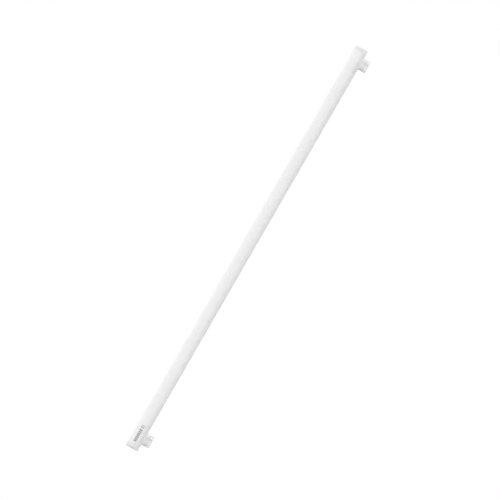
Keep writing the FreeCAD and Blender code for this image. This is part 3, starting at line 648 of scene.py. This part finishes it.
def add_bump(tree, shader, height, depth_mm):
    """Give a shader the relief of a pattern, depth_mm deep."""
    bump = add_node(tree, "ShaderNodeBump", {"Height": height, "Distance": depth_mm * MM,
                                             "Strength": 1.0})
    tree.links.new(bump.outputs["Normal"], shader.inputs["Normal"])


def vary(tree, shader, socket, factor, low, high):
    """Drive a shader's socket by a pattern, from low to high."""
    ramp = add_node(tree, "ShaderNodeMapRange", {
        "Value": factor, "From Min": NOISE_LOW, "From Max": NOISE_HIGH,
        "To Min": low, "To Max": high})
    tree.links.new(ramp.outputs["Result"], shader.inputs[socket])


def tint(tree, shader, factor, first, second):
    """Blend the base colour between two close colours by a pattern."""
    ramp = add_node(tree, "ShaderNodeMapRange", {
        "Value": factor, "From Min": NOISE_LOW, "From Max": NOISE_HIGH})
    mix = add_node(tree, "ShaderNodeMix", {"Factor": ramp.outputs["Result"]}, data_type="RGBA")
    mix.inputs["A"].default_value = first
    mix.inputs["B"].default_value = second
    tree.links.new(mix.outputs["Result"], shader.inputs["Base Color"])


def shade(colour, factor):
    """The colour made lighter or darker by a factor."""
    return tuple(min(part * factor, 1.0) for part in colour[:3]) + (1.0,)


def opal_polycarbonate(colour):
    """Opal polycarbonate, extruded: satin, faintly translucent, with fine lines from the die."""
    material, tree, shader = new_material("opal_polycarbonate", colour, {
        "Roughness": 0.42, "IOR": 1.58, "Subsurface Weight": 0.12, "Subsurface Scale": 1.5 * MM,
        "Subsurface Radius": (1.0, 1.0, 1.0)})
    lines = speckle(tree, 0.6, stretch=(400, 1, 1), detail=3.0)
    add_bump(tree, shader, lines, 0.006)
    vary(tree, shader, "Roughness", lines, 0.38, 0.46)
    tint(tree, shader, speckle(tree, 60, stretch=(3, 1, 1)), shade(colour, 0.994), colour)
    return material


def extruded_white(colour):
    """White pigmented polycarbonate, extruded: opaque and satin, with lines from the die."""
    material, tree, shader = new_material("extruded_white_polycarbonate", colour, {
        "Roughness": 0.5, "IOR": 1.58})
    lines = speckle(tree, 0.5, stretch=(500, 1, 1), detail=3.0)
    add_bump(tree, shader, lines, 0.008)
    vary(tree, shader, "Roughness", lines, 0.46, 0.54)
    tint(tree, shader, speckle(tree, 50, stretch=(4, 1, 1)), shade(colour, 0.992), colour)
    return material


def moulded_white(colour):
    """White polycarbonate, moulded against a spark-eroded tool: a fine even grain."""
    material, tree, shader = new_material("moulded_white_polycarbonate", colour, {
        "Roughness": 0.5, "IOR": 1.58})
    grain = speckle(tree, 0.35, detail=2.0)
    add_bump(tree, shader, grain, 0.012)
    vary(tree, shader, "Roughness", grain, 0.45, 0.56)
    tint(tree, shader, speckle(tree, 9), shade(colour, 0.99), colour)
    return material


def satin_nickel(colour):
    """Nickel plate on pressed brass: satin, with fine draw lines down the side of the cup."""
    material, tree, shader = new_material("satin_nickel_plate", colour, {
        "Metallic": 1.0, "Roughness": 0.45})
    lines = speckle(tree, 0.12, stretch=(1, 1, 30), detail=3.0)
    add_bump(tree, shader, lines, 0.002)
    vary(tree, shader, "Roughness", lines, 0.4, 0.5)
    tint(tree, shader, speckle(tree, 3), shade(colour, 0.96), colour)
    return material


def printing_ink(colour):
    """Pad-printing ink: thin, matt and slightly uneven."""
    material, tree, shader = new_material("pad_printing_ink", colour, {
        "Roughness": 0.7, "IOR": 1.5})
    cover = speckle(tree, 0.4, detail=3.0)
    add_bump(tree, shader, cover, 0.01)
    tint(tree, shader, cover, shade(colour, 0.9), shade(colour, 1.15))
    return material


def plain_part(name, code, roughness, grain_mm, depth_mm, metallic=0.0, stretch=(1, 1, 1),
               spread=0.08):
    """One of the inner finishes: a colour with a grain in its tone, sheen and relief."""
    colour = linear(code)
    material, tree, shader = new_material(name, colour, {
        "Roughness": roughness, "Metallic": metallic})
    grain = speckle(tree, grain_mm, stretch=stretch, detail=3.0)
    add_bump(tree, shader, grain, depth_mm)
    vary(tree, shader, "Roughness", grain, roughness * 0.85, min(roughness * 1.15, 1))
    tint(tree, shader, grain, shade(colour, 1 - spread), shade(colour, 1 + spread))
    return material


def phosphor_chip():
    """Light chip: a yellow phosphor window in a white moulded frame, one every 10 mm."""
    colour = linear("#F2F1EA")
    material, tree, shader = new_material("phosphor_light_chip", colour, {
        "Roughness": 0.35, "IOR": 1.5})
    place = add_node(tree, "ShaderNodeTexCoord")
    split = add_node(tree, "ShaderNodeSeparateXYZ", {"Vector": place.outputs["Object"]})
    pitch = 10 * MM
    window_reach, frame_reach = 1.1 * MM, 1.2 * MM
    shifted = add_node(tree, "ShaderNodeMath", {0: split.outputs["X"], 1: pitch / 2},
                       operation="ADD")
    local = add_node(tree, "ShaderNodeMath", {0: shifted.outputs[0], 1: pitch},
                     operation="FLOORED_MODULO")
    centred = add_node(tree, "ShaderNodeMath", {0: local.outputs[0], 1: pitch / 2},
                       operation="SUBTRACT")
    flat = add_node(tree, "ShaderNodeCombineXYZ", {"X": centred.outputs[0],
                                                   "Y": split.outputs["Y"]})
    reach = add_node(tree, "ShaderNodeVectorMath", {0: flat.outputs[0]}, operation="LENGTH")
    window = add_node(tree, "ShaderNodeMapRange", {
        "Value": reach.outputs["Value"], "From Min": window_reach, "From Max": frame_reach,
        "To Min": 1.0, "To Max": 0.0})
    mix = add_node(tree, "ShaderNodeMix", {"Factor": window.outputs["Result"]}, data_type="RGBA")
    mix.inputs["A"].default_value = colour
    mix.inputs["B"].default_value = linear("#E8C93A")
    tree.links.new(mix.outputs["Result"], shader.inputs["Base Color"])
    add_bump(tree, shader, window.outputs["Result"], 0.05)
    return material


def inner_materials():
    """Materials of the parts inside the lamp, by the node that they cover."""
    tinned = plain_part("tinned_brass_strip", "#C9C3B4", 0.35, 0.6, 0.003, metallic=1.0,
                        stretch=(1, 1, 12), spread=0.05)
    mill = plain_part("mill_finish_aluminium", "#C8CACC", 0.38, 0.4, 0.004, metallic=1.0,
                      stretch=(300, 1, 1), spread=0.04)
    mask = plain_part("white_solder_mask", "#EFEFEA", 0.45, 1.2, 0.006, spread=0.015)
    solder = plain_part("bright_solder", "#C4C4C2", 0.25, 0.7, 0.02, metallic=1.0, spread=0.05)
    film = plain_part("folded_polyester_film", "#DED9CA", 0.4, 2.0, 0.01, spread=0.03)
    laminate = plain_part("paper_laminate", "#B99A5E", 0.6, 0.5, 0.01, stretch=(8, 1, 1))
    cement = plain_part("cement_resistor_coat", "#7D9EA2", 0.8, 0.3, 0.03)
    dipped = plain_part("dipped_blue_epoxy", "#2F4F9C", 0.3, 1.5, 0.04, spread=0.05)
    black = plain_part("moulded_black_epoxy", "#252526", 0.6, 0.2, 0.008)
    red = plain_part("moulded_red_box", "#B4352A", 0.4, 0.6, 0.006, spread=0.04)
    ferrite = plain_part("sintered_ferrite", "#3B3A3C", 0.7, 0.3, 0.02)
    sleeve = plain_part("shrunk_black_sleeve", "#1E2026", 0.3, 1.5, 0.01, spread=0.05)
    copper = plain_part("enamelled_copper_wire", "#B5673A", 0.3, 0.35, 0.06, metallic=1.0,
                        stretch=(1, 20, 20), spread=0.12)
    insulation = plain_part("silicone_insulation", "#E8E7E2", 0.5, 0.8, 0.006, spread=0.02)
    chips = phosphor_chip()
    return {
        "solder_tag_left": tinned, "solder_tag_right": tinned, "heat_spreader": mill,
        "light_board_left": mask, "light_board_right": mask, "light_chips_left": chips,
        "light_chips_right": chips, "board_links": solder, "driver_tray": film,
        "driver_board": laminate, "fusible_resistor": cement, "varistor": dipped,
        "bridge_rectifier": black, "controller_chip": black, "freewheel_diode": black,
        "chip_resistors": black, "film_capacitor": red, "line_choke": ferrite,
        "inductor_core": ferrite, "inductor_winding": copper, "bulk_capacitor": sleeve,
        "output_capacitor": sleeve, "output_lead_plus": insulation,
        "output_lead_minus": insulation, "mains_lead_left": insulation,
        "mains_lead_right": insulation,
    }


# Stage

def floor_material(colour):
    """Painted board: white to the camera, a little darker in the light that it throws back."""
    material, tree, shader = new_material("painted_floor", colour, {"Roughness": 0.9})
    shader.inputs["Specular IOR Level"].default_value = 0.0
    path = add_node(tree, "ShaderNodeLightPath")
    mix = add_node(tree, "ShaderNodeMix", {"Factor": path.outputs["Is Camera Ray"]},
                   data_type="RGBA")
    mix.inputs["A"].default_value = shade(colour, FLOOR_RETURN)
    mix.inputs["B"].default_value = colour
    tree.links.new(mix.outputs["Result"], shader.inputs["Base Color"])
    return material


def room_light(level, slope, limit):
    """World: white to camera, glossy and transmission rays. To the rest it is an even light that
    fades on one side of the room: level + slope . direction, kept between 0 and the limit."""
    world = bpy.data.worlds.new("room")
    world.use_nodes = True
    tree = world.node_tree
    tree.nodes.clear()
    path = add_node(tree, "ShaderNodeLightPath")
    seen = add_node(tree, "ShaderNodeMath", {0: path.outputs["Is Camera Ray"],
                                             1: path.outputs["Is Glossy Ray"]},
                    operation="MAXIMUM")
    seen = add_node(tree, "ShaderNodeMath", {0: seen.outputs[0],
                                             1: path.outputs["Is Transmission Ray"]},
                    operation="MAXIMUM")
    place = add_node(tree, "ShaderNodeTexCoord")
    side = add_node(tree, "ShaderNodeVectorMath", {0: place.outputs["Generated"], 1: slope},
                    operation="DOT_PRODUCT")
    light = add_node(tree, "ShaderNodeMath", {0: side.outputs["Value"], 1: level},
                     operation="ADD")
    light = add_node(tree, "ShaderNodeClamp", {"Value": light.outputs[0], "Min": 0.0, "Max": limit})
    strength = add_node(tree, "ShaderNodeMix", {"Factor": seen.outputs[0],
                                                2: light.outputs[0], 3: 1.0})
    background = add_node(tree, "ShaderNodeBackground", {
        "Color": (1, 1, 1, 1), "Strength": strength.outputs[0]})
    add_node(tree, "ShaderNodeOutputWorld", {"Surface": background.outputs[0]})
    bpy.context.scene.world = world


def photo_camera(stage):
    """Level camera with parallel rays, leaning so that the lamp crosses the picture."""
    turn, lean = stage.azimuth, stage.lean
    level = Vector((math.cos(turn), math.sin(turn), 0))
    upright = Vector((0, 0, 1))
    back = Vector((math.sin(turn), -math.cos(turn), 0))
    right = level * math.cos(lean) - upright * math.sin(lean)
    up = level * math.sin(lean) + upright * math.cos(lean)
    pixel = stage.view_width / PICTURE_SIDE
    shift_right, shift_up = (side * pixel for side in PICTURE_SHIFT)
    centre = Vector((0, 0, AXIS_HEIGHT)) + right * shift_right + up * shift_up
    data = bpy.data.cameras.new("photo_camera")
    data.type = "ORTHO"
    data.ortho_scale = stage.view_width
    data.clip_end = CAMERA_REACH
    camera = bpy.data.objects.new("photo_camera", data)
    camera.matrix_world = Matrix.Translation(centre + back * CAMERA_DISTANCE) @ Matrix(
        (right, up, back)).transposed().to_4x4()
    bpy.context.scene.collection.objects.link(camera)
    bpy.context.scene.camera = camera


# Operators

class LAMP_OT_cover(bpy.types.Operator):
    """Add the opal cover."""

    bl_idname = "lamp.cover"
    bl_label = "Cover"

    def execute(self, context):
        sizes = context.scene.lamp_sizes
        solid = extrude(cover_outline(sizes), COVER_LOW.x, COVER_HIGH.x)
        finish_piece(make_object("cover_extrusion", *solid),
                     opal_polycarbonate(tuple(context.scene.lamp_colours.cover)),
                     "opal_cover", "cover")
        return {"FINISHED"}


class LAMP_OT_rail(bpy.types.Operator):
    """Add the rail that the cover clips to."""

    bl_idname = "lamp.rail"
    bl_label = "Rail"

    def execute(self, context):
        sizes = context.scene.lamp_sizes
        solid = extrude(rail_outline(sizes), RAIL_LOW.x, RAIL_HIGH.x)
        finish_piece(make_object("rail_extrusion", *solid),
                     extruded_white(tuple(context.scene.lamp_colours.rail)),
                     "white_moulding", "rail")
        return {"FINISHED"}


class LAMP_OT_end_caps(bpy.types.Operator):
    """Add the two moulded end caps with their pegs."""

    bl_idname = "lamp.end_caps"
    bl_label = "End caps"

    def execute(self, context):
        sizes = context.scene.lamp_sizes
        cap = context.scene.lamp_caps
        seam = RAIL_LOW.x - cap.seam_gap - CAP_LOW.x
        collar_bore = TUBE_RADIUS - sizes.cover_wall - sizes.clearance - SPIGOT_WALL
        collar_cut = [CAP_LOW.x + cap.end_wall, CAP_LOW.x + cap.collar_length + CUT_OVERLAP]
        bore_rows = stadium_rows([PEG_WIDTH / 2 - cap.peg_wall] * 2,
                                 [-BORE_BELOW, AXIS_HEIGHT - TUBE_RADIUS * BORE_SHARE])
        steps = [
            ("DIFFERENCE", cover_room(sizes, cap)),
            ("DIFFERENCE", round_bar(collar_cut, [collar_bore] * 2, BORE_STEPS)),
            ("UNION", peg_solid(cap)),
            ("DIFFERENCE", capped_rows(bore_rows)),
        ]
        steps += [("DIFFERENCE", box) for box in notch_boxes(cap)]
        left = combine("cap_moulding_left", cap_bar(cap, seam), steps)
        finish_pair(left, "cap_moulding", moulded_white(tuple(context.scene.lamp_colours.cap)),
                    "white_moulding", "end_cap")
        return {"FINISHED"}


class LAMP_OT_contact_cups(bpy.types.Operator):
    """Add the two pressed metal cups on the pegs."""

    bl_idname = "lamp.contact_cups"
    bl_label = "Contact cups"

    def execute(self, context):
        cap = context.scene.lamp_caps
        radius = PEG_WIDTH / 2
        wall = cap.cup_wall
        edge = cap.cup_round
        inner = radius - wall
        lip = wall / 2
        profile = np.concatenate([
            quarter((radius - edge, 0), (radius, 0), (radius, edge), steps=8),
            quarter((radius, CUP_TOP - lip), (radius, CUP_TOP), (radius - lip, CUP_TOP), steps=4),
            quarter((inner + lip / 4, CUP_TOP), (inner, CUP_TOP), (inner, CUP_TOP - lip), steps=3),
            quarter((inner, edge), (inner, wall), (inner - edge + wall, wall), steps=5),
        ])
        shell = capped_rows(stadium_rows(profile[:, 0], profile[:, 1]))
        steps = [("DIFFERENCE", box) for box in notch_boxes(cap)]
        left = combine("cup_pressing_left", shell, steps)
        finish_pair(left, "cup_pressing", satin_nickel(tuple(context.scene.lamp_colours.nickel)),
                    "nickel_contact", "contact_cup")
        return {"FINISHED"}


class LAMP_OT_print(bpy.types.Operator):
    """Add the plain printed bars near the left end."""

    bl_idname = "lamp.print_bars"
    bl_label = "Printed bars"

    def execute(self, context):
        ink = context.scene.lamp_print
        start = CAP_LOW.x + ink.start
        fields = [(start + ink.bar_pitch * n, start + ink.bar_pitch * n + ink.bar_width,
                   -ink.low, ink.high) for n in range(ink.bars)]
        left = start + ink.bar_pitch * (ink.bars + SQUARE_SPACE)
        right = left + ink.frame_width
        low = (ink.high - ink.low - ink.frame_width) / 2
        top = low + ink.frame_width
        side_low = low + ink.line + HAIR
        side_top = top - ink.line - HAIR
        fields += [(left, right, low, low + ink.line), (left, right, top - ink.line, top),
                   (left, left + ink.line, side_low, side_top),
                   (right - ink.line, right, side_low, side_top)]
        points, faces = [], []
        for field in fields:
            solid, quads = ink_field(*field, ink.thickness)
            faces += [[corner + len(points) for corner in quad] for quad in quads]
            points += solid.tolist()
        finish_piece(make_object("print_bars", np.array(points), faces),
                     printing_ink(tuple(context.scene.lamp_colours.ink)), "opal_cover")
        return {"FINISHED"}


class LAMP_OT_inner_parts(bpy.types.Operator):
    """Give the parts inside the lamp their materials."""

    bl_idname = "lamp.inner_parts"
    bl_label = "Inner parts"

    def execute(self, context):
        for name, material in inner_materials().items():
            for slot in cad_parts[name].material_slots:
                slot.material = material
        return {"FINISHED"}


class LAMP_OT_stage(bpy.types.Operator):
    """Add the floor, the light and the camera."""

    bl_idname = "lamp.stage"
    bl_label = "Stage"

    def execute(self, context):
        stage = context.scene.lamp_stage
        corners = np.array([[-1, -1, 0], [1, -1, 0], [1, 1, 0], [-1, 1, 0]]) * FLOOR_REACH
        corners[:, 2] = -FLOOR_DEPTH
        floor = make_object("floor", corners, [(0, 1, 2, 3)])
        floor.data.materials.append(floor_material(tuple(context.scene.lamp_colours.floor)))
        room_light(stage.room_level, tuple(stage.room_slope), stage.room_limit)
        lamp = bpy.data.lights.new("key_light", "SUN")
        lamp.energy = stage.key_light
        lamp.angle = KEY_SPREAD
        key = bpy.data.objects.new("key_light", lamp)
        key.rotation_mode = "QUATERNION"
        key.rotation_quaternion = Vector(stage.key_direction).to_track_quat("Z", "Y")
        context.scene.collection.objects.link(key)
        photo_camera(stage)
        context.scene.view_settings.view_transform = "Standard"
        return {"FINISHED"}


class LAMP_PT_panel(bpy.types.Panel):
    """Sidebar panel with the lamp's pieces and settings."""

    bl_idname = "LAMP_PT_panel"
    bl_label = "Linear lamp"
    bl_space_type = "VIEW_3D"
    bl_region_type = "UI"
    bl_category = "Lamp"

    def draw(self, context):
        for group in GROUPS:
            box = self.layout.box()
            settings = getattr(context.scene, group)
            for name in settings.__annotations__:
                box.prop(settings, name)
        for operator in OPERATORS:
            self.layout.operator(operator.bl_idname)


GROUPS = {
    "lamp_sizes": LampSizes,
    "lamp_caps": CapSizes,
    "lamp_print": PrintSizes,
    "lamp_colours": LampColours,
    "lamp_stage": StageSettings,
}
OPERATORS = (LAMP_OT_cover, LAMP_OT_rail, LAMP_OT_end_caps, LAMP_OT_contact_cups,
             LAMP_OT_print, LAMP_OT_inner_parts, LAMP_OT_stage)


def register():
    for name, group in GROUPS.items():
        bpy.utils.register_class(group)
        setattr(bpy.types.Scene, name, bpy.props.PointerProperty(type=group))
    for item in (*OPERATORS, LAMP_PT_panel):
        bpy.utils.register_class(item)


def unregister():
    for item in (LAMP_PT_panel, *reversed(OPERATORS)):
        bpy.utils.unregister_class(item)
    for name, group in reversed(GROUPS.items()):
        delattr(bpy.types.Scene, name)
        bpy.utils.unregister_class(group)


def main():
    register()
    bpy.ops.lamp.cover()
    bpy.ops.lamp.rail()
    bpy.ops.lamp.end_caps()
    bpy.ops.lamp.contact_cups()
    bpy.ops.lamp.print_bars()
    bpy.ops.lamp.inner_parts()
    bpy.ops.lamp.stage()


if __name__ == "__main__":
    main()
